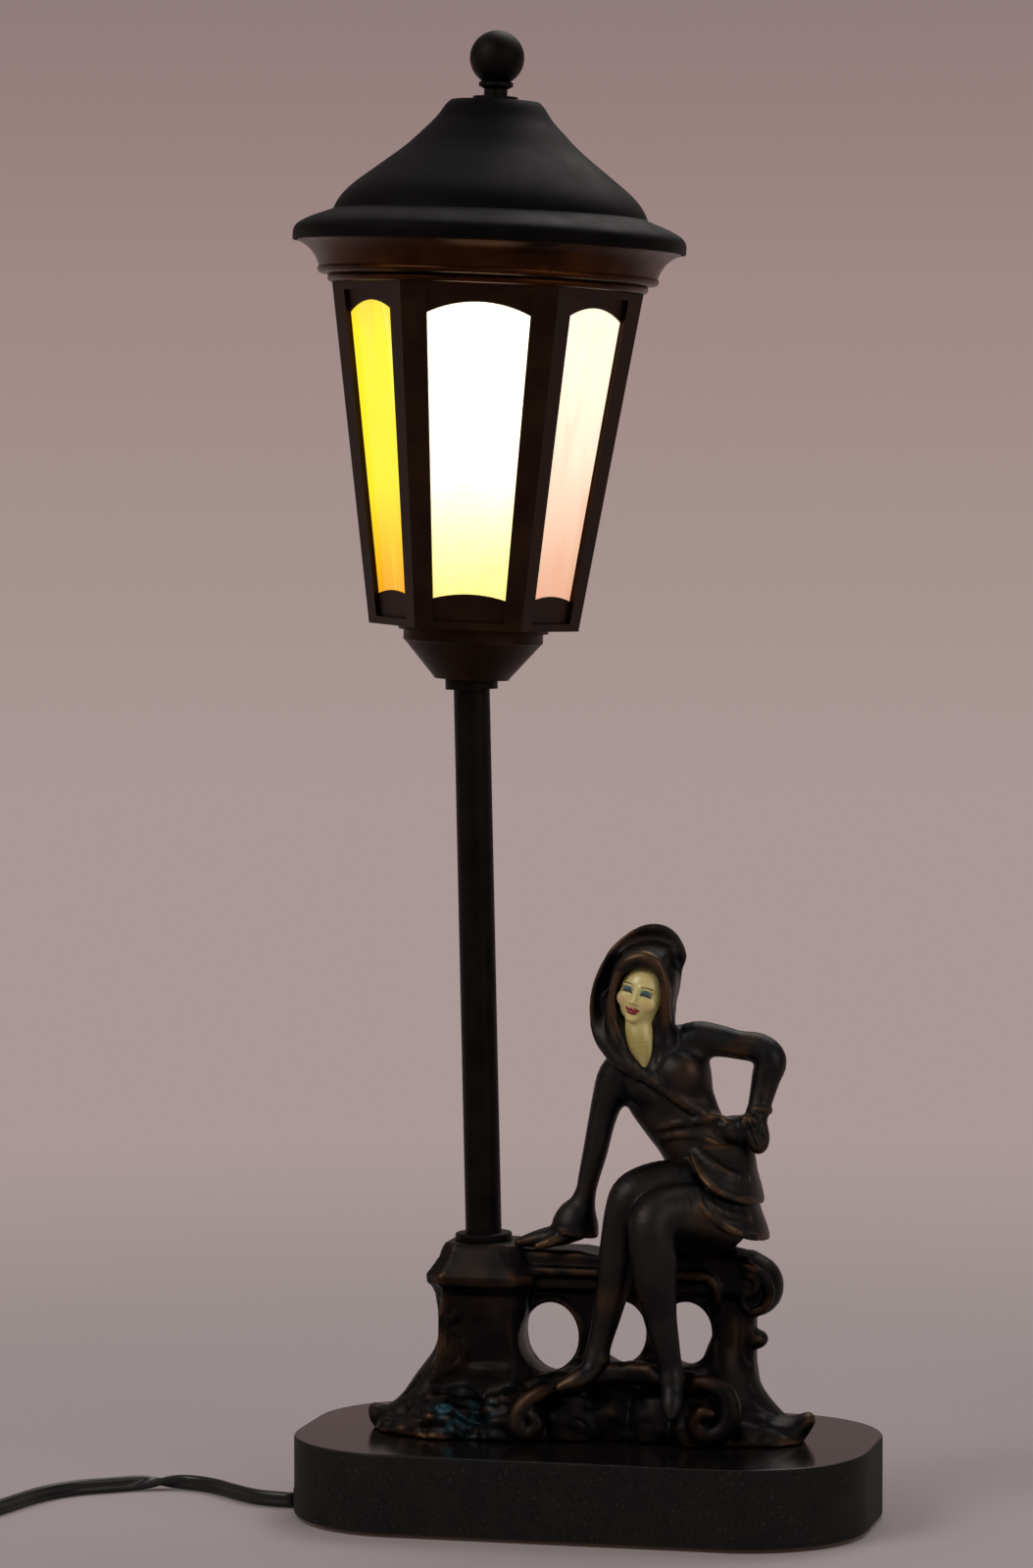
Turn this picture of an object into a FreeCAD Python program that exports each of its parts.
"""Figural table lamp: a leaning post carries a six-sided lantern over a lady seated on a garden bench.

Millimetres, +Z up. The origin is the centre of the base's underside on the table, +X runs along
the base to the viewer's right and +Y away from the viewer. The pole and the lantern each lean in the
XZ plane, so their parts are drawn upright about the Z axis and then placed on the leaning axis.
"""
import FreeCAD, Part

import math
import os

V = FreeCAD.Vector
UP = V(0, 0, 1)

# ---- driving dimensions ------------------------------------------------------------------------
# base
BASE_LENGTH = 203.0
BASE_WIDTH = 114.0
BASE_CORNER_R = 43.6
MARBLE_T = 27.0
FELT_T = 1.6
FELT_INSET = 0.8
POCKET_LENGTH = 166.0
POCKET_WIDTH = 46.0
POCKET_DEPTH = 12.0

# mains cord and its way through the base
CORD_D = 5.4
CORD_LIFT = 0.4
CORD_EXIT_Y = -13.0
CHANNEL_WIDTH = 8.0
CHANNEL_HEIGHT = 8.0
BUSHING_LENGTH = 6.0
BUSHING_PROUD = 1.0
CORD_SLOT_LENGTH = 36.0
CORD_SLOT_WIDTH = 20.0

# pole
POLE_OD = 12.7
POLE_WALL = 0.8
POLE_FOOT = V(-39.1, 6.0, 95.1)
POLE_LEAN = -1.27
POLE_LENGTH = 191.4
FLANGE_R = 10.0
FLANGE_T = 2.4
FOOT_GRIP = 8.0
COLLAR_R = 9.2
COLLAR_T = 3.5
NIPPLE_OD = 9.9
NIPPLE_BORE = 6.8
NUT_AF = 14.0
NUT_T = 3.2
WASHER_R = 8.6
WASHER_T = 1.2

# lantern, heights above the collar's sloping top face
LANTERN_LEAN = 2.46
LANTERN_TURN = 10.3
NECK_FOOT_R = 13.1
NECK_CONE_R = 23.8
NECK_CONE_H = 12.7
NECK_BAND_R = 24.5
NECK_BAND_H = 16.7
NECK_RIM_R = 26.3
NECK_H = 18.2
SHEET_T = 0.9
FRAME_H = 118.4
FRAME_BOTTOM_R = 36.8
FRAME_TOP_R = 54.5
FRAME_SHEET_T = 1.2
RING_BAND = 2.6
MOUTH_R = 40.0
WINDOW_BOTTOM_H = 28.4
WINDOW_TOP_H = 126.0
WINDOW_BOTTOM_HALF = 12.5
WINDOW_TOP_HALF = 17.7
ARCH_TOP_RISE = 4.2
ARCH_BOTTOM_RISE = 1.8
PANEL_T = 0.6
PANE_T = 2.6
CLIP_WIDTH = 8.0
CLIP_LENGTH = 7.0
CLIP_T = 0.8

# cornice and roof: radius and height pairs of the outer faces
CORNICE_BEADS = ((54.9, 0.0), (56.0, 1.1), (55.6, 2.5), (58.2, 2.9), (59.6, 4.0), (59.2, 5.3))
CORNICE_COVE = ((59.2, 5.3), (60.9, 9.2), (67.2, 13.9))
CORNICE_COLLAR_H = 18.0
ROOF_LIP_R = 68.7
ROOF_LIP_H = 14.2
ROOF_BRIM = ((68.7, 16.6), (67.9, 19.0), (65.2, 21.1), (60.0, 23.4), (54.9, 25.4))
ROOF_BELL = ((54.9, 25.4), (53.6, 28.3), (51.2, 31.6), (43.1, 38.6), (36.9, 43.4), (29.8, 49.1),
             (24.0, 54.8), (19.4, 59.9), (17.0, 63.4), (15.3, 64.9))
ROOF_TOP_H = 64.9
STUD_R = 2.0
STUD_LENGTH = 20.0
ROOF_NUT_AF = 7.0
ROOF_NUT_T = 2.6
FINIAL_WASHER_R = 7.8
FINIAL_WASHER_T = 1.5
BALL_R = 9.5
BALL_NECK_R = 4.1
BALL_NECK_H = 2.6
BALL_COLLAR_R = 6.0
BALL_COLLAR_TOP_H = 5.4
BALL_CENTRE_H = 13.4
STUD_IN_BALL = 6.0

# lamp socket and bulb, heights above the lantern's bottom plate
SOCKET_H = 6.5
SOCKET_CAP_H = 13.0
SOCKET_R = 16.6
SOCKET_WALL = 0.5
SOCKET_SHELL_H = 34.0
LINER_T = 0.6
CORE_H = 12.0
SLEEVE_WALL = 0.5
SLEEVE_H = 20.0
BULB_BASE_R = 13.1
BULB_BASE_H = 25.0
BULB_R = 22.5
BULB_CENTRE_H = 52.0

# fits
RUN_GAP = 0.05
SEAT_GAP = 0.1
SHEET_GAP = 0.15

# heights of the bench, the lady and the pole's foot are given with the slab's top at this height
CASTING_DATUM = 28.6

# bench casting
BENCH_Y = 8.0
PEDESTAL_CENTRE = (-39.0, 6.0)
PEDESTAL_SECTIONS = ((CASTING_DATUM, 22.0, 17.5), (46.0, 19.0, 15.5), (56.0, 17.2, 14.5),
                     (70.0, 16.8, 14.0), (78.0, 17.6, 14.8), (81.0, 20.0, 17.0), (84.0, 20.6, 17.6),
                     (91.0, 17.0, 14.5),
                     (94.8, 15.6, 13.2))
PEDESTAL_WAIST = (16.8, 14.0)
PEDESTAL_CHAMFER = 0.36
PEDESTAL_WALL = 4.0
RAIL_LEFT = -24.0
RAIL_RIGHT = 56.0
RAIL_TOP = 92.9
RAIL_T = 9.0
RAIL_DEPTH = 21.0
WALL_DEPTH = 9.0
WINDOW_HOLES = ((-14.2, 61.8, 9.6, 11.8), (12.5, 64.0, 9.4, 10.8), (34.5, 64.6, 9.2, 10.8))
END_COLUMN = (43.8, 55.6)
COLUMN_DEPTH = 18.0
SCROLL_CENTRE = (57.4, 81.4)
SCROLL_R = 10.6
SCROLL_DEPTH = 20.0
KNOB_CENTRE = (58.6, 62.8)
KNOB_R = 3.5
KNOB_DEPTH = 8.0
KNOB_STEM = 6.0
LEFT_TOE = ((-56.0, 56.0), (-60.4, 49.9), (-64.6, 41.7), (-71.7, 35.5), (-77.2, 36.4), (-78.3, 33.6),
            (-76.0, CASTING_DATUM))
RIGHT_TOE = ((55.4, 56.0), (56.5, 49.4), (59.7, 44.3), (63.9, 39.7), (69.3, 37.3), (73.5, 37.4),
             (77.8, 39.5), (79.7, 37.2), (77.4, CASTING_DATUM))
TOE_DEPTH = 11.0
TOE_ROOT = (50.0, 56.0)
PLINTH_LEFT = -60.0
PLINTH_RIGHT = 62.0
PLINTH_FRONT = -4.0
PLINTH_BACK = 17.0
PLINTH_H = 15.0
ROCKS = ((-46.0, -9.0, 17.0, 18.0, 16.0), (-20.0, -10.0, 18.0, 17.0, 17.0), (4.0, -3.0, 18.0, 14.0, 18.0),
         (27.0, -6.0, 16.0, 15.0, 14.0), (47.0, -7.0, 17.0, 17.0, 15.0))
SCREW_XY = ((-12.0, 6.0), (48.0, 8.0))
SCREW_R = 2.4
SCREW_REACH = 10.0
SCREW_HEAD_R = 4.2
SCREW_HEAD_H = 3.2
SCREW_WASHER_R = 6.5
SCREW_WASHER_T = 1.2

# seated lady: rows of x, y, z and radius down each limb, and of half-widths up the body
JOINT_SWELL = 1.06
TORSO = ((42.5, 7.0, 93.0, 9.5, 8.0), (43.5, 6.8, 98.0, 10.5, 10.0), (46.0, 6.5, 104.0, 16.0, 13.4),
         (44.5, 6.0, 116.0, 17.0, 14.0), (41.0, 5.0, 127.0, 16.2, 12.0), (35.5, 4.0, 134.0, 15.7, 11.0),
         (30.5, 3.4, 142.0, 16.2, 10.8), (27.6, 3.0, 149.0, 16.2, 10.8), (25.5, 2.5, 156.0, 15.6, 10.5),
         (24.0, 1.5, 163.0, 12.0, 8.4), (22.5, 0.5, 169.0, 5.5, 5.0))
SKIRT = ((44.0, 5.5, 129.0, 16.5, 13.0), (45.0, 5.0, 119.0, 18.5, 16.0), (46.0, 4.5, 112.0, 18.0, 17.0),
         (46.0, 4.0, 104.0, 18.8, 17.0), (46.5, 4.0, 99.4, 19.0, 17.5))
LEFT_ARM = ((31.0, 3.0, 165.0, 6.4), (38.0, 3.5, 167.6, 6.6), (50.0, 5.5, 166.6, 5.4),
            (59.5, 7.0, 165.2, 5.2), (63.9, 6.6, 160.6, 4.9), (61.6, 4.6, 149.0, 4.4),
            (59.6, 1.6, 140.0, 4.1), (58.4, -1.4, 133.0, 5.0), (55.0, -3.0, 128.5, 3.6))
RIGHT_ARM = ((13.5, 3.0, 157.6, 6.0), (8.0, 2.5, 150.6, 5.6), (4.6, 2.0, 139.0, 4.8),
             (2.0, 1.0, 126.0, 4.1), (-0.9, 0.4, 113.6, 3.7), (-2.6, 0.2, 107.4, 4.6),
             (-3.4, 0.2, 102.4, 6.2), (-4.4, 0.4, 99.6, 3.4))
RIGHT_HAND = ((-6.0, 1.4, 101.6, 3.2), (-11.0, 1.0, 99.4, 4.2), (-18.0, 0.6, 97.4, 3.8),
              (-24.6, 0.4, 95.4, 1.8))
RIGHT_LEG = ((38.0, -3.0, 115.5, 10.6), (28.0, -9.0, 117.6, 9.8), (16.0, -16.6, 116.0, 8.0),
             (14.0, -18.6, 108.0, 7.4), (12.4, -17.4, 94.0, 6.6), (10.2, -16.4, 78.0, 5.0),
             (7.6, -15.8, 64.0, 4.1), (5.6, -16.4, 55.6, 4.0), (0.4, -19.6, 50.4, 3.4),
             (-4.6, -22.4, 48.2, 2.1))
LEFT_LEG = ((46.0, -4.0, 108.0, 12.0), (36.0, -16.0, 110.0, 9.6), (27.0, -27.0, 109.0, 7.4),
            (27.4, -28.6, 98.0, 7.2), (29.0, -27.0, 84.0, 6.0), (31.6, -25.4, 70.0, 4.8),
            (33.8, -24.6, 59.0, 3.9), (35.0, -25.0, 51.0, 4.0), (35.6, -28.0, 45.4, 3.4),
            (36.0, -30.0, 41.6, 2.0))
HEAD_CENTRE = V(20.6, -1.0, 183.4)
HEAD_HALF = (11.4, 11.0, 13.0)
HAT_CENTRE = V(17.4, 3.0, 187.6)
HAT_TILT = (-64.0, 30.0)
HAT_RADII = (25.0, 15.6)
HAT_T = 3.4
HAT_CROWN_R = 12.6
FACE_CENTRE = V(19.4, -7.6, 182.6)
FACE_HALF = (8.0, 6.6, 9.6)
NECKLINE = ((19.6, -6.6, 174.0, 4.4), (20.4, -7.6, 167.0, 3.6), (21.2, -8.6, 159.4, 1.2))

# free cord on the table: points of the route seen from above
CORD_ROUTE = ((-114.5, -13.0), (-127.5, -3.4), (-138.6, 7.0), (-151.0, 11.6), (-163.4, 7.6),
              (-174.6, -0.6), (-186.0, -8.4), (-194.6, -23.0), (-199.2, -45.0), (-205.0, -67.0),
              (-217.0, -84.0), (-233.0, -94.6))
SWITCH_INLET = (-248.5, -94.0)
SWITCH_LENGTH = 46.0
SWITCH_WIDTH = 18.0
SWITCH_LOWER_H = 7.0
SWITCH_UPPER_H = 6.6
WHEEL_R = 10.4
WHEEL_T = 4.0
WHEEL_PIN_R = 1.6
TAIL_ROUTE = ((-303.6, -91.8), (-311.8, -87.2), (-316.6, -78.6), (-317.8, -64.0))
COIL_CENTRE = (-275.0, -38.0)
COIL_OUTER_R = 41.6
COIL_PITCH = 6.2
COIL_TURNS = 7
COIL_LAYER = 5.9
COIL_END = ((-317.4, -12.0), (-318.6, 10.0), (-317.6, 32.0))
PLUG_LENGTH = 30.0
PLUG_WIDTH = 24.0
PLUG_HEIGHT = 15.0
BLADE_LENGTH = 15.9
BLADE_WIDTH = 6.35
BLADE_T = 1.5
BLADE_SPACING = 12.7

# ---- worked out from the above -----------------------------------------------------------------
BASE_TOP = FELT_T + MARBLE_T
CASTING_RISE = BASE_TOP - CASTING_DATUM
POCKET_TOP = FELT_T + POCKET_DEPTH
CORD_Z = CORD_LIFT + CORD_D / 2
POLE_BORE_R = POLE_OD / 2 - POLE_WALL
NIPPLE_R = NIPPLE_OD / 2
COLLAR_BOTTOM = FLANGE_T + POLE_LENGTH
SEAT_H = COLLAR_BOTTOM + COLLAR_T
PLATE_TOP = NECK_H + FRAME_SHEET_T
FRAME_TOP = NECK_H + FRAME_H
COS30 = math.cos(math.radians(30))
TAN30 = math.tan(math.radians(30))


# ---- helpers -----------------------------------------------------------------------------------
def leaning(foot, degrees):
    """Placement of an axis that starts at foot and leans towards +X by the angle."""
    return FreeCAD.Placement(foot, FreeCAD.Rotation(V(0, 1, 0), degrees))


POLE_AXIS = leaning(POLE_FOOT + V(0, 0, CASTING_RISE), POLE_LEAN)
SEAT_POINT = POLE_AXIS.multVec(V(0, 0, SEAT_H))
LANTERN_AXIS = leaning(SEAT_POINT, LANTERN_LEAN)


def placed(shape, placement):
    """The shape moved from its own axis onto the placement."""
    moved = shape.copy()
    moved.Placement = placement.multiply(moved.Placement)
    return moved


def on_pole(shape):
    return placed(shape, POLE_AXIS)


def on_lantern(shape):
    return placed(shape, LANTERN_AXIS)


def cylinder(radius, bottom, top, x=0.0, y=0.0):
    return Part.makeCylinder(radius, top - bottom, V(x, y, bottom))


def tube(outer, inner, bottom, top):
    return cylinder(outer, bottom, top).cut(cylinder(inner, bottom - 1, top + 1))


def box(x0, x1, y0, y1, z0, z1):
    return Part.makeBox(x1 - x0, y1 - y0, z1 - z0, V(x0, y0, z0))


def fused(shapes):
    return shapes[0].multiFuse(list(shapes[1:]))


def prism(points, direction):
    """Flat polygon through the points, pushed along the direction."""
    return Part.Face(Part.makePolygon([V(*p) for p in points] + [V(*points[0])])).extrude(V(*direction))


def turned(edges):
    """Solid of revolution about Z of the closed outline that the edges make in the XZ plane."""
    outline = Part.Face(Part.Wire(edges))
    return outline.revolve(V(0, 0, 0), UP, 360)


def lathe(points):
    """Solid of revolution of a polygon of radius and height pairs."""
    wire = Part.makePolygon([V(r, 0, h) for r, h in points] + [V(points[0][0], 0, points[0][1])])
    return Part.Face(wire).revolve(V(0, 0, 0), UP, 360)


def smooth(points):
    """Curve in the XZ plane through radius and height pairs."""
    curve = Part.BSplineCurve()
    curve.interpolate([V(r, 0, h) for r, h in points])
    return curve.toShape()


def offset(points, distance):
    """The pairs moved inward, square to the line through their neighbours."""
    moved = []
    for i, (r, h) in enumerate(points):
        before = points[max(i - 1, 0)]
        after = points[min(i + 1, len(points) - 1)]
        length = math.hypot(after[0] - before[0], after[1] - before[1])
        moved.append((r - distance * (after[1] - before[1]) / length,
                      h + distance * (after[0] - before[0]) / length))
    return moved


def line(a, b):
    return Part.LineSegment(V(a[0], 0, a[1]), V(b[0], 0, b[1])).toShape()


def rounded_plate(length, width, corner, bottom, top):
    """Upright plate with rounded corners, centred on the origin."""
    plate = box(-length / 2, length / 2, -width / 2, width / 2, bottom, top)
    uprights = [e for e in plate.Edges if abs(e.tangentAt(e.FirstParameter).z) > 0.9]
    return plate.makeFillet(corner, uprights)


def obround(length, width, bottom, top, x, y):
    """Upright slot along X with round ends."""
    half = (length - width) / 2
    ends = [cylinder(width / 2, bottom, top, x + side * half, y) for side in (-1, 1)]
    return fused([box(x - half, x + half, y - width / 2, y + width / 2, bottom, top)] + ends)


def hexagon(radius, height, turn=0.0):
    """Hexagon wire with a flat side towards -Y, turned about Z."""
    angles = [math.radians(turn + 60 * i) for i in range(6)]
    points = [V(radius * math.cos(a), radius * math.sin(a), height) for a in angles]
    return Part.makePolygon(points + [points[0]])


def hex_frustum(bottom_r, top_r, bottom, top):
    wires = [hexagon(bottom_r, bottom), hexagon(top_r, top)]
    return Part.makeLoft(wires, True, True)


def hex_nut(across_flats, bore_r, bottom, top):
    nut = Part.Face(hexagon(across_flats / 2 / COS30, bottom)).extrude(V(0, 0, top - bottom))
    return nut.cut(cylinder(bore_r, bottom - 1, top + 1))


def ellipse_wire(centre, rx, ry):
    """Closed horizontal ellipse; its longer half-width may lie along either axis."""
    if rx >= ry:
        curve = Part.Ellipse(centre + V(rx, 0, 0), centre + V(0, ry, 0), centre)
    else:
        curve = Part.Ellipse(centre + V(0, ry, 0), centre + V(-rx, 0, 0), centre)
    return Part.Wire(curve.toShape())


def body_loft(rows):
    """Smooth closed body through horizontal ellipses of x, y, z and two half-widths."""
    wires = [ellipse_wire(V(x, y, z), rx, ry) for x, y, z, rx, ry in rows]
    return Part.makeLoft(wires, True, False)


def limb(rows):
    """Limb of tapering segments through rows of x, y, z and radius, with a ball at each joint."""
    pieces = []
    for (x0, y0, z0, r0), (x1, y1, z1, r1) in zip(rows, rows[1:]):
        start, end = V(x0, y0, z0), V(x1, y1, z1)
        axis = end - start
        pieces.append(Part.makeCone(r0, r1, axis.Length, start, axis))
        pieces.append(Part.makeSphere(r0 * JOINT_SWELL, start, axis))
    pieces.append(Part.makeSphere(r1 * JOINT_SWELL, end, axis))
    return fused(pieces)


def ellipsoid(centre, halves):
    ball = Part.makeSphere(1.0)
    matrix = FreeCAD.Matrix()
    matrix.scale(*halves)
    grown = ball.transformGeometry(matrix)
    grown.translate(centre)
    return grown


# ---- tubes along routes ------------------------------------------------------------------------
def arc_between(start, tangent, end):
    """Arc from start, leaving along the tangent, to end."""
    chord = end - start
    along = V(chord).normalize()
    side = tangent - along * tangent.dot(along)
    if side.Length < 1e-9:
        return Part.LineSegment(start, end).toShape()
    angle = math.acos(max(-1.0, min(1.0, tangent.dot(along))))
    middle = start + chord * 0.5 + V(side).normalize() * (chord.Length / 2 * math.tan(angle / 2))
    return Part.Arc(start, middle, end).toShape()


def biarc(start, t0, end, t1):
    """Two tangent arcs between points with given unit tangents."""
    v = end - start
    t = t0 + t1
    square = 2 * (1 - t0.dot(t1))
    if square < 1e-9:
        reach = v.dot(v) / (4 * v.dot(t1))
    else:
        reach = (-v.dot(t) + math.sqrt(v.dot(t) ** 2 + square * v.dot(v))) / square
    joint = (start + t0 * reach + end - t1 * reach) * 0.5
    back = arc_between(end, t1 * -1, joint)
    curve = back.Curve
    first = arc_between(start, t0, joint)
    middle = back.valueAt((back.FirstParameter + back.LastParameter) / 2)
    second = Part.Arc(joint, middle, end).toShape() if not isinstance(curve, Part.Line) else (
        Part.LineSegment(joint, end).toShape())
    return [first, second]


def rounded_route(points, name):
    """Straight runs joined by tangent arcs, each as large as its two runs allow."""
    edges = []
    here = points[0]
    radii = []
    for before, corner, after in zip(points, points[1:], points[2:]):
        arrive = corner - before
        leave = after - corner
        turn = arrive.getAngle(leave)
        reach = 0.45 * min(arrive.Length, leave.Length)
        radius = reach / math.tan(turn / 2)
        radii.append(round(radius, 1))
        enter = corner - V(arrive).normalize() * reach
        exit_point = corner + V(leave).normalize() * reach
        edges.append(Part.LineSegment(here, enter).toShape())
        edges.append(arc_between(enter, V(arrive).normalize(), exit_point))
        here = exit_point
    edges.append(Part.LineSegment(here, points[-1]).toShape())
    print(name, "bend radii", radii)
    return edges


def swept(edges, diameter, name):
    """Round tube along tangent edges, with its volume compared with section times length."""
    path = Part.Wire(edges)
    start = edges[0].valueAt(edges[0].FirstParameter)
    tangent = edges[0].tangentAt(edges[0].FirstParameter)
    section = Part.Wire(Part.Circle(start, tangent, diameter / 2).toShape())
    solid = path.makePipeShell([section], True, False)
    expected = math.pi * diameter ** 2 / 4 * path.Length
    print(name, "length %.1f, volume over section times length %.4f" % (path.Length, solid.Volume / expected))
    return solid


# ---- base --------------------------------------------------------------------------------------
def bushing_face_x():
    """Where the bushing's outer face stands, a little proud of the slab's side."""
    return -BASE_LENGTH / 2 - BUSHING_PROUD


def marble_base():
    slab = rounded_plate(BASE_LENGTH, BASE_WIDTH, BASE_CORNER_R, FELT_T, BASE_TOP)
    slab = slab.makeFillet(0.8, [e for e in slab.Edges if e.BoundBox.ZMin > BASE_TOP - 0.01])
    pocket = rounded_plate(POCKET_LENGTH, POCKET_WIDTH, 6.0, FELT_T - 1, POCKET_TOP)
    channel = box(-BASE_LENGTH / 2 - 1, 0, CORD_EXIT_Y - CHANNEL_WIDTH / 2, CORD_EXIT_Y + CHANNEL_WIDTH / 2,
                  FELT_T - 1, CHANNEL_HEIGHT)
    slot = obround(CORD_SLOT_LENGTH, CORD_SLOT_WIDTH, 0, BASE_TOP + 1, *cord_slot_centre())
    slab = slab.cut(fused([pocket, channel, slot]))
    for x, y in SCREW_XY:
        slab = slab.cut(cylinder(SCREW_R + 0.4, 0, BASE_TOP + 1, x, y))
    return slab


def cord_slot_centre():
    return (PEDESTAL_CENTRE[0] - 4.0, PEDESTAL_CENTRE[1])


def felt_pad():
    pad = rounded_plate(BASE_LENGTH - 2 * FELT_INSET, BASE_WIDTH - 2 * FELT_INSET,
                        BASE_CORNER_R - FELT_INSET, 0, FELT_T)
    half = CHANNEL_WIDTH / 2
    return pad.cut(box(-BASE_LENGTH / 2, 12 - POCKET_LENGTH / 2, CORD_EXIT_Y - half, CORD_EXIT_Y + half,
                       -1, FELT_T + 1))


def cord_bushing():
    x0 = bushing_face_x()
    half = CHANNEL_WIDTH / 2 - SEAT_GAP
    block = box(x0, x0 + BUSHING_PROUD + BUSHING_LENGTH, CORD_EXIT_Y - half, CORD_EXIT_Y + half,
                0.3, CHANNEL_HEIGHT - SEAT_GAP)
    bore = Part.makeCylinder(CORD_D / 2, 20, V(x0 - 1, CORD_EXIT_Y, CORD_Z), V(1, 0, 0))
    return block.cut(bore)


def casting_screws():
    screws = []
    for x, y in SCREW_XY:
        seat = POCKET_TOP - SCREW_WASHER_T
        shank = cylinder(SCREW_R, seat - 1, BASE_TOP + SCREW_REACH, x, y)
        head = cylinder(SCREW_HEAD_R, seat - SCREW_HEAD_H, seat, x, y)
        screw = fused([shank, head])
        slot = box(x - SCREW_HEAD_R, x + SCREW_HEAD_R, y - 0.5, y + 0.5,
                   seat - SCREW_HEAD_H - 1, seat - SCREW_HEAD_H + 1.2)
        screws.append(screw.cut(slot))
    return Part.Compound(screws)


def screw_washers():
    washers = []
    for x, y in SCREW_XY:
        disc = cylinder(SCREW_WASHER_R, POCKET_TOP - SCREW_WASHER_T, POCKET_TOP, x, y)
        washers.append(disc.cut(cylinder(SCREW_R + 0.2, 0, BASE_TOP, x, y)))
    return Part.Compound(washers)


# ---- bench casting -----------------------------------------------------------------------------
def chamfered_section(height, half_x, half_y):
    """Octagonal outline of the pedestal at one height."""
    cx, cy = PEDESTAL_CENTRE
    cut = PEDESTAL_CHAMFER * half_y
    corners = ((half_x, half_y - cut), (half_x - cut, half_y), (cut - half_x, half_y),
               (-half_x, half_y - cut), (-half_x, cut - half_y), (cut - half_x, -half_y),
               (half_x - cut, -half_y), (half_x, cut - half_y))
    points = [V(cx + x, cy + y, height) for x, y in corners]
    return Part.makePolygon(points + [points[0]])


def profile_slab(points, depth, closing):
    """Curve through XZ points, closed by straight lines through the closing points, thickened along Y."""
    y = BENCH_Y - depth / 2
    curve = Part.BSplineCurve()
    curve.interpolate([V(x, y, z) for x, z in points])
    corners = [V(x, y, z) for x, z in (points[-1], *closing, points[0])]
    edges = [curve.toShape()] + [Part.LineSegment(a, b).toShape() for a, b in zip(corners, corners[1:])]
    return Part.Face(Part.Wire(edges)).extrude(V(0, depth, 0))


def raised(shape):
    """Moves a shape that is given above the casting datum onto the slab."""
    return placed(shape, FreeCAD.Placement(V(0, 0, CASTING_RISE), FreeCAD.Rotation()))


def rockwork():
    """Mounds of rock under the bench, flat on the marble."""
    rocks = [ellipsoid(V(x, y, CASTING_DATUM), (rx, ry, rz)) for x, y, rx, ry, rz in ROCKS]
    plinth = box(PLINTH_LEFT, PLINTH_RIGHT, PLINTH_FRONT, PLINTH_BACK,
                 CASTING_DATUM, CASTING_DATUM + PLINTH_H)
    mass = fused(rocks + [plinth])
    return mass.common(box(-BASE_LENGTH, BASE_LENGTH, -BASE_WIDTH, BASE_WIDTH, CASTING_DATUM, RAIL_TOP))


def bench_wall():
    """The wall under the rail, with its oval openings."""
    y0 = BENCH_Y - WALL_DEPTH / 2
    wall = box(RAIL_LEFT, END_COLUMN[1], y0, y0 + WALL_DEPTH, CASTING_DATUM, RAIL_TOP - 1)
    for x, z, rx, rz in WINDOW_HOLES:
        oval = Part.Ellipse(V(x, y0 - 1, z + rz), V(x + rx, y0 - 1, z), V(x, y0 - 1, z))
        hole = Part.Face(Part.Wire(oval.toShape())).extrude(V(0, WALL_DEPTH + 2, 0))
        wall = wall.cut(hole)
    return wall


def scrolled_end():
    """The column at the right, with its scroll and the knob below it."""
    half = COLUMN_DEPTH / 2
    column = box(END_COLUMN[0], END_COLUMN[1], BENCH_Y - half, BENCH_Y + half, CASTING_DATUM, RAIL_TOP - 2)
    sx, sz = SCROLL_CENTRE
    scroll = Part.makeCylinder(SCROLL_R, SCROLL_DEPTH, V(sx, BENCH_Y - SCROLL_DEPTH / 2, sz), V(0, 1, 0))
    kx, kz = KNOB_CENTRE
    knob = Part.makeCylinder(KNOB_R, KNOB_DEPTH, V(kx, BENCH_Y - KNOB_DEPTH / 2, kz), V(0, 1, 0))
    stem = box(kx - KNOB_STEM, kx, BENCH_Y - 3, BENCH_Y + 3, kz - 2, kz + 2)
    return [column, scroll, knob, stem]


def bench_casting():
    pedestal = Part.makeLoft([chamfered_section(*row) for row in PEDESTAL_SECTIONS], True, True)
    r0 = BENCH_Y - RAIL_DEPTH / 2
    rail = box(RAIL_LEFT, RAIL_RIGHT, r0, r0 + RAIL_DEPTH, RAIL_TOP - RAIL_T, RAIL_TOP)
    root_x, root_z = TOE_ROOT
    left = profile_slab(LEFT_TOE, TOE_DEPTH, ((-root_x, CASTING_DATUM), (-root_x, root_z)))
    right = profile_slab(RIGHT_TOE, TOE_DEPTH, ((root_x, CASTING_DATUM), (root_x, root_z)))
    casting = fused([pedestal, bench_wall(), rail, *scrolled_end(), left, right, rockwork()])
    cx, cy = PEDESTAL_CENTRE
    half_x, half_y = (half - PEDESTAL_WALL for half in PEDESTAL_WAIST)
    hollow = box(cx - half_x, cx + half_x, cy - half_y, cy + half_y,
                 CASTING_DATUM - 1, POLE_FOOT.z - FOOT_GRIP)
    casting = raised(casting.cut(hollow))
    seat = on_pole(cylinder(FLANGE_R + 1.5, 0, 12))
    bore = on_pole(cylinder(NIPPLE_R + 0.2, -30, 5))
    relief = on_pole(cylinder(WASHER_R + 0.8, -14.0, -FOOT_GRIP))
    casting = casting.cut(bore).cut(relief).cut(seat)
    for x, y in SCREW_XY:
        casting = casting.cut(cylinder(SCREW_R, BASE_TOP - 1, BASE_TOP + SCREW_REACH + 1, x, y))
    return casting


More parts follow.
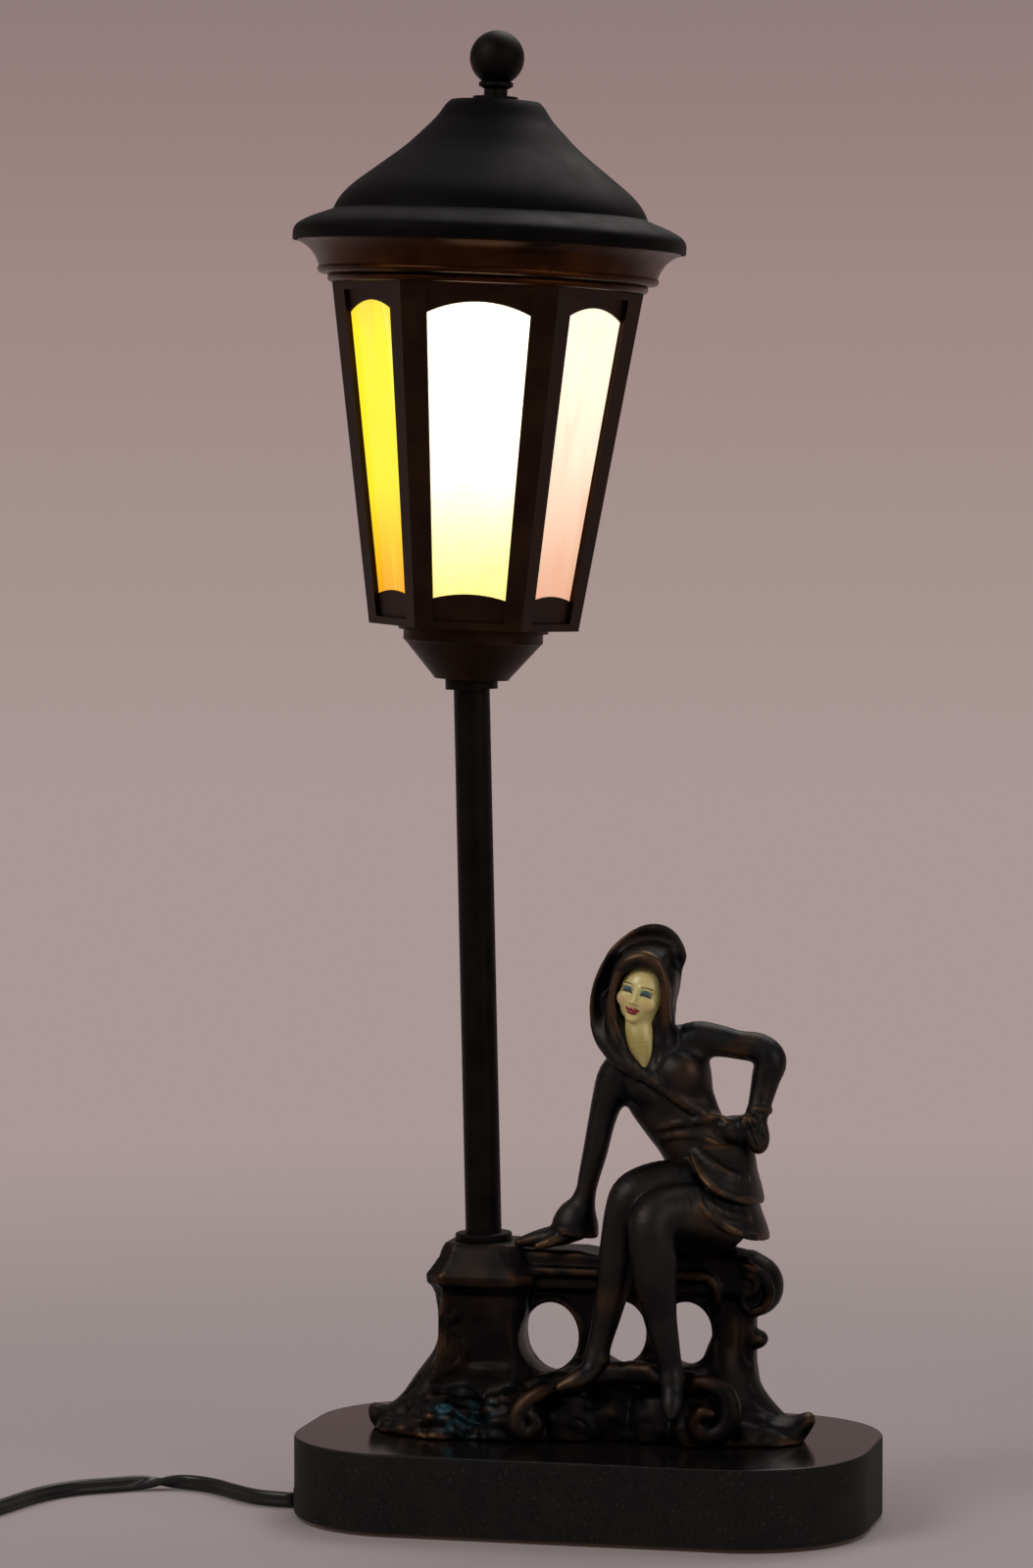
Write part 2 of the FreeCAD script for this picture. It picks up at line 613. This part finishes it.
# ---- seated lady -------------------------------------------------------------------------------
def hat():
    """Wide brim as a thin oval, tipped back, with a low crown behind it."""
    brim = ellipsoid(V(0, 0, 0), (HAT_RADII[1], HAT_RADII[0], HAT_T))
    crown = ellipsoid(V(0, 2.0, 5.0), (HAT_CROWN_R, HAT_CROWN_R, 9.0))
    whole = fused([brim, crown])
    turn = FreeCAD.Rotation(V(0, 1, 0), HAT_TILT[1]).multiply(FreeCAD.Rotation(V(1, 0, 0), HAT_TILT[0]))
    whole.Placement = FreeCAD.Placement(HAT_CENTRE, turn)
    return whole


def figure(bench):
    """Pieces of the lady, each cut by the ones that it is joined to."""
    face = raised(fused([ellipsoid(FACE_CENTRE, FACE_HALF), limb(NECKLINE)]))
    torso = raised(body_loft(TORSO))
    head = raised(fused([ellipsoid(HEAD_CENTRE, HEAD_HALF), hat()])).cut(torso).cut(face)
    torso = torso.cut(face)
    skirt = raised(body_loft(SKIRT)).cut(torso)
    front_leg, crossed_leg = raised(limb(LEFT_LEG)), raised(limb(RIGHT_LEG))
    skirt = skirt.cut(front_leg).cut(crossed_leg)
    left_leg = front_leg.cut(torso).cut(bench)
    right_leg = crossed_leg.cut(torso).cut(front_leg).cut(bench)
    left_arm = raised(limb(LEFT_ARM)).cut(torso).cut(skirt)
    right_arm = raised(fused([limb(RIGHT_ARM), limb(RIGHT_HAND)])).cut(torso).cut(bench)
    return {"face_insert": face.cut(left_arm), "figure_head": head.cut(left_arm).cut(right_arm),
            "figure_torso": torso, "figure_skirt": skirt,
            "figure_left_leg": left_leg, "figure_right_leg": right_leg,
            "figure_left_arm": left_arm, "figure_right_arm": right_arm}


# ---- pole --------------------------------------------------------------------------------------
def foot_flange():
    disc = cylinder(FLANGE_R, 0, FLANGE_T)
    disc = disc.makeFillet(0.7, [e for e in disc.Edges if e.BoundBox.ZMin > FLANGE_T - 0.01])
    return on_pole(disc.cut(cylinder(NIPPLE_R + 0.1, -1, FLANGE_T + 1)))


def pole_tube():
    return on_pole(tube(POLE_OD / 2, POLE_BORE_R, FLANGE_T, COLLAR_BOTTOM))


def foot_nipple():
    return on_pole(tube(NIPPLE_R, NIPPLE_BORE / 2, -16.0, FLANGE_T + 14.0))


def foot_washer():
    return on_pole(tube(WASHER_R, NIPPLE_R + 0.1, -FOOT_GRIP - WASHER_T, -FOOT_GRIP))


def foot_nut():
    return on_pole(hex_nut(NUT_AF, NIPPLE_R + 0.1, -FOOT_GRIP - WASHER_T - NUT_T, -FOOT_GRIP - WASHER_T))


def wedge_collar():
    ring = on_pole(tube(COLLAR_R, NIPPLE_R + 0.5, COLLAR_BOTTOM, SEAT_H + 4))
    return ring.cut(on_lantern(box(-30, 30, -30, 30, 0, 30)))


# ---- lantern -----------------------------------------------------------------------------------
def neck_nipple():
    return on_lantern(tube(NIPPLE_R, NIPPLE_BORE / 2, -COLLAR_T - 5.0, PLATE_TOP + SOCKET_H + 6.0))


def lantern_neck():
    outer = [(NECK_FOOT_R, 0), (NECK_FOOT_R + 0.3, 0.6), (NECK_CONE_R, NECK_CONE_H),
             (NECK_BAND_R, NECK_CONE_H + 0.6), (NECK_BAND_R, NECK_BAND_H),
             (NECK_RIM_R, NECK_BAND_H + 0.1), (NECK_RIM_R, NECK_H)]
    t = SHEET_T
    inner = [(NECK_BAND_R - t, NECK_H), (NECK_BAND_R - t, NECK_CONE_H + 1.0),
             (NECK_CONE_R - t, NECK_CONE_H + 0.6), (NECK_FOOT_R - t, t),
             (NIPPLE_R + 0.1, t), (NIPPLE_R + 0.1, 0)]
    return on_lantern(lathe(outer + inner))


def neck_washer():
    return on_lantern(tube(WASHER_R, NIPPLE_R + 0.1, PLATE_TOP, PLATE_TOP + WASHER_T))


def neck_nut():
    return on_lantern(hex_nut(NUT_AF, NIPPLE_R + 0.1, PLATE_TOP + WASHER_T, PLATE_TOP + WASHER_T + NUT_T))


FACE_SLOPE = math.atan((FRAME_TOP_R - FRAME_BOTTOM_R) * COS30 / FRAME_H)


def on_face(shape, index):
    """From a face's own axes, X across, Y outward from the sheet's outer side and Z up the slope."""
    lift = FreeCAD.Placement(V(0, 0, NECK_H), FreeCAD.Rotation(UP, LANTERN_TURN + 60 * index))
    slope = FreeCAD.Rotation(V(1, 0, 0), math.degrees(FACE_SLOPE)).multiply(FreeCAD.Rotation(UP, 180))
    foot = FreeCAD.Placement(V(0, -FRAME_BOTTOM_R * COS30, 0), slope)
    return placed(shape, LANTERN_AXIS.multiply(lift).multiply(foot))


def up_slope(height):
    """Distance up a face's slope at a height above the seat."""
    return (height - NECK_H) / math.cos(FACE_SLOPE)


def window_half(height):
    share = (height - WINDOW_BOTTOM_H) / (WINDOW_TOP_H - WINDOW_BOTTOM_H)
    return WINDOW_BOTTOM_HALF + share * (WINDOW_TOP_HALF - WINDOW_BOTTOM_HALF)


def sheet_half(height, depth):
    """Half of a face's width at a height and a depth behind its outer side."""
    radius = FRAME_BOTTOM_R + (FRAME_TOP_R - FRAME_BOTTOM_R) * (height - NECK_H) / FRAME_H
    return (radius * COS30 - depth) * TAN30


def face_plate(bottom, top, half_of, near, far):
    """Trapezoid plate on a face between two heights and two depths behind its outer side."""
    corners = ((-half_of(bottom), near, up_slope(bottom)), (half_of(bottom), near, up_slope(bottom)),
               (half_of(top), near, up_slope(top)), (-half_of(top), near, up_slope(top)))
    return prism(corners, (0, far - near, 0))


def arched_window(near, far):
    """Cutter with arched head and foot."""
    low, high = up_slope(WINDOW_BOTTOM_H), up_slope(WINDOW_TOP_H)
    a, b = V(-WINDOW_BOTTOM_HALF, near, low), V(WINDOW_BOTTOM_HALF, near, low)
    c, d = V(WINDOW_TOP_HALF, near, high), V(-WINDOW_TOP_HALF, near, high)
    edges = [Part.Arc(a, V(0, near, low + ARCH_BOTTOM_RISE), b).toShape(), Part.LineSegment(b, c).toShape(),
             Part.Arc(c, V(0, near, high + ARCH_TOP_RISE), d).toShape(), Part.LineSegment(d, a).toShape()]
    return Part.Face(Part.Wire(edges)).extrude(V(0, far - near, 0))


def lantern_frame():
    """Six corner posts with a bottom plate and a top ring."""
    outer = hex_frustum(FRAME_BOTTOM_R, FRAME_TOP_R, NECK_H, FRAME_TOP)
    skin = FRAME_SHEET_T / COS30
    inner = hex_frustum(FRAME_BOTTOM_R - skin, FRAME_TOP_R - skin, NECK_H, FRAME_TOP)
    trim = box(-80, 80, -80, 80, PLATE_TOP, FRAME_TOP - FRAME_SHEET_T)
    shell = outer.cut(inner.common(trim))
    shell = shell.cut(cylinder(MOUTH_R, FRAME_TOP - 5, FRAME_TOP + 5))
    shell = shell.cut(cylinder(NIPPLE_R + 0.1, NECK_H - 1, PLATE_TOP + 1))
    frame = on_lantern(placed(shell, FreeCAD.Placement(V(0, 0, 0), FreeCAD.Rotation(UP, LANTERN_TURN))))
    gap = face_plate(NECK_H + RING_BAND, FRAME_TOP - RING_BAND, window_half, 5, -FRAME_SHEET_T - 2)
    for index in range(6):
        frame = frame.cut(on_face(gap, index))
    return frame


def panel_depth():
    return FRAME_SHEET_T + SHEET_GAP


def pane_depth():
    return panel_depth() + PANEL_T + SHEET_GAP


def clip_depth():
    return pane_depth() + PANE_T + SHEET_GAP


def window_panels():
    near = panel_depth()
    far = near + PANEL_T
    plate = face_plate(PLATE_TOP + 0.2, FRAME_TOP - FRAME_SHEET_T - 0.4,
                       lambda h: sheet_half(h, far) - SHEET_GAP, -near, -far)
    plate = plate.cut(arched_window(5, -20))
    return Part.Compound([on_face(plate, index) for index in range(6)])


def pane(index):
    near = pane_depth()
    far = near + PANE_T
    plate = face_plate(PLATE_TOP + 0.6, FRAME_TOP - FRAME_SHEET_T - 1.2,
                       lambda h: sheet_half(h, far) - SHEET_GAP, -near, -far)
    return on_face(plate, index)


def pane_clips():
    """Tabs behind each pane, standing on the bottom plate and hanging from the top ring."""
    near = clip_depth()
    half = CLIP_WIDTH / 2
    clips = []
    for index in range(6):
        for low, high in ((PLATE_TOP, PLATE_TOP + CLIP_LENGTH),
                          (FRAME_TOP - FRAME_SHEET_T - CLIP_LENGTH, FRAME_TOP - FRAME_SHEET_T)):
            tab = on_face(face_plate(low - 1, high + 1, lambda h: half, -near, -near - CLIP_T), index)
            clips.append(tab.common(on_lantern(box(-90, 90, -90, 90, low, high))))
    return Part.Compound(clips)


def cornice_ring():
    base = FRAME_TOP
    beads = [(r, base + h) for r, h in CORNICE_BEADS]
    cove = [(r, base + h) for r, h in CORNICE_COVE]
    top = (cove[-1][0], base + CORNICE_COLLAR_H)
    t = SHEET_T
    back = [(top[0] - t, top[1]), (cove[-1][0] - t, cove[-1][1] + 0.6), (cove[1][0] - t, cove[1][1] + 0.6),
            (beads[-2][0] - t, beads[-2][1]), (beads[2][0] - t - 0.4, beads[2][1]),
            (beads[0][0] - t, base + t), (MOUTH_R, base + t), (MOUTH_R, base)]
    first = Part.Arc(*(V(r, 0, z) for r, z in beads[:3]))
    second = Part.Arc(*(V(r, 0, z) for r, z in beads[3:6]))
    hollow = Part.Arc(*(V(r, 0, z) for r, z in cove[:3]))
    corners = [cove[-1], top] + back + [beads[0]]
    edges = [first.toShape(), line(beads[2], beads[3]), second.toShape(), hollow.toShape()]
    edges += [line(a, b) for a, b in zip(corners, corners[1:])]
    return on_lantern(turned(edges))


# ---- roof --------------------------------------------------------------------------------------
def roof_shell():
    base = FRAME_TOP
    brim = [(r, base + h) for r, h in ROOF_BRIM]
    bell = [(r, base + h) for r, h in ROOF_BELL]
    t = SHEET_T
    inner_brim = offset(brim, t)
    inner_bell = offset(bell, t)
    inner_bell[-1] = (bell[-1][0] - 0.4 * t, bell[-1][1] - t)
    step = ((inner_brim[-1][0] + inner_bell[0][0]) / 2, (inner_brim[-1][1] + inner_bell[0][1]) / 2)
    inner_brim[-1] = step
    inner_bell[0] = step
    lip = (ROOF_LIP_R, base + ROOF_LIP_H)
    inner_brim[0] = (ROOF_LIP_R - t, brim[0][1])
    hole = STUD_R + 0.2
    top = bell[-1][1]
    edges = [line(lip, brim[0]), smooth(brim), smooth(bell), line(bell[-1], (hole, top)),
             line((hole, top), (hole, top - t)), line((hole, top - t), inner_bell[-1]),
             smooth(inner_bell[::-1]), smooth(inner_brim[::-1]),
             line(inner_brim[0], (lip[0] - t, lip[1])), line((lip[0] - t, lip[1]), lip)]
    return on_lantern(turned(edges))


def finial_foot():
    return FRAME_TOP + ROOF_TOP_H + FINIAL_WASHER_T


def roof_stud():
    top = finial_foot() + BALL_COLLAR_TOP_H + STUD_IN_BALL
    return on_lantern(cylinder(STUD_R, top - STUD_LENGTH, top))


def roof_nut():
    under = FRAME_TOP + ROOF_TOP_H - SHEET_T
    return on_lantern(hex_nut(ROOF_NUT_AF, STUD_R, under - ROOF_NUT_T, under))


def finial_washer():
    return on_lantern(tube(FINIAL_WASHER_R, STUD_R + 0.2, FRAME_TOP + ROOF_TOP_H, finial_foot()))


def finial_ball():
    foot = finial_foot() + RUN_GAP
    centre = foot + BALL_CENTRE_H
    collar_foot, collar_top = foot + BALL_NECK_H, foot + BALL_COLLAR_TOP_H
    ball = Part.makeSphere(BALL_R, V(0, 0, centre))
    neck = lathe(((0, foot), (BALL_NECK_R, foot), (BALL_NECK_R, collar_foot),
                  (BALL_COLLAR_R, collar_foot + 1.0),
                  (BALL_COLLAR_R, collar_top - 0.6), (BALL_COLLAR_R - 1.0, collar_top),
                  (BALL_COLLAR_R - 1.0, centre), (0, centre)))
    bore = cylinder(STUD_R + RUN_GAP, foot - 1, collar_top + STUD_IN_BALL + 0.5)
    return on_lantern(fused([ball, neck]).cut(bore))


# ---- socket and bulb ---------------------------------------------------------------------------
def socket_foot():
    return PLATE_TOP + SOCKET_H


def shell_foot():
    return socket_foot() + SOCKET_CAP_H


def socket_cap():
    low, high = socket_foot(), shell_foot()
    t = SOCKET_WALL
    bore = NIPPLE_R + 0.1
    outer = [(bore, low), (8.0, low), (8.0, low + 4), (SOCKET_R - 3, low + 7.5),
             (SOCKET_R, high - 2), (SOCKET_R, high)]
    inner = [(SOCKET_R - t, high), (SOCKET_R - t, high - 2), (SOCKET_R - 3 - t, low + 8.2),
             (7.4, low + 4.8), (bore, low + 4.8)]
    return on_lantern(lathe(outer + inner))


def socket_shell():
    return on_lantern(tube(SOCKET_R, SOCKET_R - SOCKET_WALL, shell_foot(), shell_foot() + SOCKET_SHELL_H))


def socket_liner():
    outer = SOCKET_R - SOCKET_WALL - RUN_GAP
    return on_lantern(tube(outer, outer - LINER_T, shell_foot(), shell_foot() + SOCKET_SHELL_H + 1.2))


def core_r():
    return SOCKET_R - SOCKET_WALL - RUN_GAP - LINER_T - RUN_GAP


def socket_core():
    core = cylinder(core_r(), shell_foot(), shell_foot() + CORE_H)
    wire_way = cylinder(3.2, shell_foot() - 1, shell_foot() + CORE_H - 3)
    return on_lantern(core.cut(wire_way))


def socket_sleeve():
    low = shell_foot() + CORE_H
    bore = BULB_BASE_R + RUN_GAP
    return on_lantern(tube(bore + SLEEVE_WALL, bore, low, low + SLEEVE_H))


def socket_contact():
    low = shell_foot() + CORE_H
    return on_lantern(cylinder(4.0, low, low + 1.2))


def bulb_foot():
    return shell_foot() + CORE_H + 1.2 + SEAT_GAP


def bulb_base():
    foot = bulb_foot()
    outline = ((0, foot), (4.6, foot), (9.0, foot + 4.0), (BULB_BASE_R, foot + 5.0),
               (BULB_BASE_R, foot + BULB_BASE_H),
               (0, foot + BULB_BASE_H))
    return on_lantern(lathe(outline))


def bulb_globe():
    low = bulb_foot() + BULB_BASE_H
    centre = bulb_foot() + BULB_CENTRE_H
    neck_r = BULB_BASE_R - 0.6
    meet = centre - math.sqrt(BULB_R ** 2 - (neck_r + 3.0) ** 2)
    edges = [line((0, low), (neck_r, low)),
             line((neck_r, low), (neck_r + 3.0, meet)),
             Part.Arc(V(neck_r + 3.0, 0, meet), V(BULB_R, 0, centre), V(0, 0, centre + BULB_R)).toShape(),
             line((0, centre + BULB_R), (0, low))]
    return on_lantern(turned(edges))


# ---- cord --------------------------------------------------------------------------------------
def table_point(xy, z=None):
    return V(xy[0], xy[1], CORD_Z if z is None else z)


def inner_cord():
    start = V(bushing_face_x(), CORD_EXIT_Y, CORD_Z)
    under_pole = POLE_AXIS.multVec(V(0, 0, -86.0))
    points = [start, V(-79.0, CORD_EXIT_Y, CORD_Z), under_pole, SEAT_POINT,
              LANTERN_AXIS.multVec(V(0, 0, shell_foot() + CORE_H - 3.0))]
    return swept(rounded_route(points, "inner cord"), CORD_D, "inner cord")


def switch_direction():
    before = V(CORD_ROUTE[-1][0], CORD_ROUTE[-1][1], 0)
    return (V(SWITCH_INLET[0], SWITCH_INLET[1], 0) - before).normalize()


def on_switch(shape):
    """From the switch's own axes, X along the cord from the inlet and Z up from the table."""
    heading = switch_direction()
    angle = math.degrees(math.atan2(heading.y, heading.x))
    return placed(shape, FreeCAD.Placement(table_point(SWITCH_INLET, 0), FreeCAD.Rotation(UP, angle)))


def switch_outlet():
    return table_point(SWITCH_INLET) + switch_direction() * SWITCH_LENGTH


def cord_lead():
    points = [V(bushing_face_x(), CORD_EXIT_Y, CORD_Z)] + [table_point(p) for p in CORD_ROUTE]
    points.append(table_point(SWITCH_INLET))
    return swept(rounded_route(points, "cord lead"), CORD_D, "cord lead")


def coil_point(turns):
    """Centre-line point of the coil: in on the table, up a layer in the middle half turn, out on top."""
    radius = COIL_OUTER_R - COIL_PITCH * min(turns, COIL_TURNS - turns)
    climbed = min(max((turns - COIL_TURNS / 2) * 2 + 0.5, 0.0), 1.0)
    angle = math.pi - 2 * math.pi * turns
    return V(COIL_CENTRE[0] + radius * math.cos(angle), COIL_CENTRE[1] + radius * math.sin(angle),
             CORD_Z + COIL_LAYER * climbed)


def coil_tangent(turns):
    """Unit tangent of the coil, held level so that each layer starts and ends flat."""
    step = 1e-4
    flat = coil_point(min(turns + step, COIL_TURNS)) - coil_point(max(turns - step, 0))
    flat.z = 0
    return flat.normalize()


def cord_tail():
    start = coil_point(0)
    points = [switch_outlet()] + [table_point(p) for p in TAIL_ROUTE]
    heading = coil_tangent(0)
    points += [start - heading * CORD_D * 1.4, start]
    return swept(rounded_route(points, "cord tail"), CORD_D, "cord tail")


def least_self_gap(path, diameter):
    """Least clear distance between stretches of the path more than three diameters apart along it."""
    points = path.discretize(Distance=2.0)
    step = path.Length / (len(points) - 1)
    skip = int(3 * diameter / step) + 1
    least = min((a - b).Length for i, a in enumerate(points) for b in points[i + skip:])
    return least - diameter


def cord_coil():
    quarters = COIL_TURNS * 4
    edges = []
    for i in range(quarters):
        a, b = i / 4, (i + 1) / 4
        edges += biarc(coil_point(a), coil_tangent(a), coil_point(b), coil_tangent(b))
    end = coil_point(COIL_TURNS)
    heading = coil_tangent(COIL_TURNS)
    points = [end, end + heading * CORD_D * 1.4, table_point(COIL_END[0], end.z)]
    points += [table_point(p) for p in COIL_END[1:]]
    edges += rounded_route(points, "coil end")
    path = Part.Wire(edges)
    print("coil least self gap %.2f" % least_self_gap(path, CORD_D))
    return swept(edges, CORD_D, "cord coil")


def on_plug(shape):
    """From the plug's own axes, X along its blades and Z up from the table."""
    before = V(COIL_END[-2][0], COIL_END[-2][1], 0)
    heading = V(COIL_END[-1][0], COIL_END[-1][1], 0) - before
    angle = math.degrees(math.atan2(heading.y, heading.x))
    return placed(shape, FreeCAD.Placement(table_point(COIL_END[-1], 0), FreeCAD.Rotation(UP, angle)))


def plug_body():
    half = PLUG_WIDTH / 2
    outline = ((0, -5.0, 0), (10.0, -6.0, 0), (PLUG_LENGTH - 8, -half, 0), (PLUG_LENGTH, -half, 0),
               (PLUG_LENGTH, half, 0), (PLUG_LENGTH - 8, half, 0), (10.0, 6.0, 0), (0, 5.0, 0))
    body = prism(outline, (0, 0, PLUG_HEIGHT))
    wedge = ((-1, 0, 2 * CORD_Z + 1.2), (PLUG_LENGTH - 8, 0, PLUG_HEIGHT), (-1, 0, PLUG_HEIGHT + 1))
    slope = prism(wedge, (0, 60, 0))
    slope.translate(V(0, -30, 0))
    return on_plug(body.cut(slope))


def plug_blades():
    blades = []
    middle = PLUG_HEIGHT / 2
    for side in (-1, 1):
        y = side * BLADE_SPACING / 2
        blades.append(on_plug(box(PLUG_LENGTH, PLUG_LENGTH + BLADE_LENGTH, y - BLADE_T / 2, y + BLADE_T / 2,
                                  middle - BLADE_WIDTH / 2, middle + BLADE_WIDTH / 2)))
    return Part.Compound(blades)


def wheel_bottom():
    return SWITCH_LOWER_H - WHEEL_T / 2


def switch_slot():
    """Room for the wheel between the two halves."""
    return cylinder(WHEEL_R + 0.4, wheel_bottom() - 0.2, wheel_bottom() + WHEEL_T + 0.2, SWITCH_LENGTH / 2, 0)


def switch_block(bottom, top):
    return box(0, SWITCH_LENGTH, -SWITCH_WIDTH / 2, SWITCH_WIDTH / 2, bottom, top)


def switch_lower():
    pin = cylinder(WHEEL_PIN_R, 3.0, SWITCH_LOWER_H + WHEEL_T / 2 + 0.2, SWITCH_LENGTH / 2, 0)
    return on_switch(fused([switch_block(0, SWITCH_LOWER_H).cut(switch_slot()), pin]))


def switch_upper():
    top = SWITCH_LOWER_H + SWITCH_UPPER_H
    block = switch_block(SWITCH_LOWER_H, top)
    block = block.makeFillet(1.5, [e for e in block.Edges if e.BoundBox.ZMin > top - 0.01])
    return on_switch(block.cut(switch_slot()))


def switch_wheel():
    low = wheel_bottom()
    wheel = cylinder(WHEEL_R, low, low + WHEEL_T)
    for i in range(24):
        angle = 2 * math.pi * i / 24
        x, y = WHEEL_R * math.cos(angle), WHEEL_R * math.sin(angle)
        wheel = wheel.cut(cylinder(0.5, low - 1, low + WHEEL_T + 1, x, y))
    wheel = wheel.cut(cylinder(WHEEL_PIN_R + RUN_GAP, low - 1, low + WHEEL_T + 1))
    wheel.translate(V(SWITCH_LENGTH / 2, 0, 0))
    return on_switch(wheel)


# ---- export ------------------------------------------------------------------------------------
PANE_NAMES = ("pane_front", "pane_front_right", "pane_back_right",
              "pane_back", "pane_back_left", "pane_front_left")


def build():
    makers = (marble_base, felt_pad, cord_bushing, casting_screws, screw_washers, bench_casting,
              foot_flange, pole_tube, foot_nipple, foot_washer, foot_nut, wedge_collar,
              neck_nipple, lantern_neck, neck_washer, neck_nut, lantern_frame, window_panels, pane_clips,
              cornice_ring, roof_shell, roof_stud, roof_nut, finial_washer, finial_ball,
              socket_cap, socket_shell, socket_liner, socket_core, socket_sleeve, socket_contact,
              bulb_base, bulb_globe, inner_cord, cord_lead, cord_tail, cord_coil,
              switch_lower, switch_upper, switch_wheel, plug_body, plug_blades)
    nodes = {maker.__name__: maker() for maker in makers}
    nodes.update(figure(nodes["bench_casting"]))
    for index, name in enumerate(PANE_NAMES):
        nodes[name] = pane(index)
    return nodes


def main():
    os.makedirs("parts", exist_ok=True)
    for name, shape in build().items():
        solids = shape.Solids
        box_ = shape.BoundBox
        print("%-18s solids %2d valid %s volume %9.1f  x %.1f %.1f  y %.1f %.1f  z %.1f %.1f"
              % (name, len(solids), shape.isValid(), shape.Volume, box_.XMin, box_.XMax, box_.YMin, box_.YMax,
                 box_.ZMin, box_.ZMax))
        shape.exportStep("parts/%s.step" % name)


main()
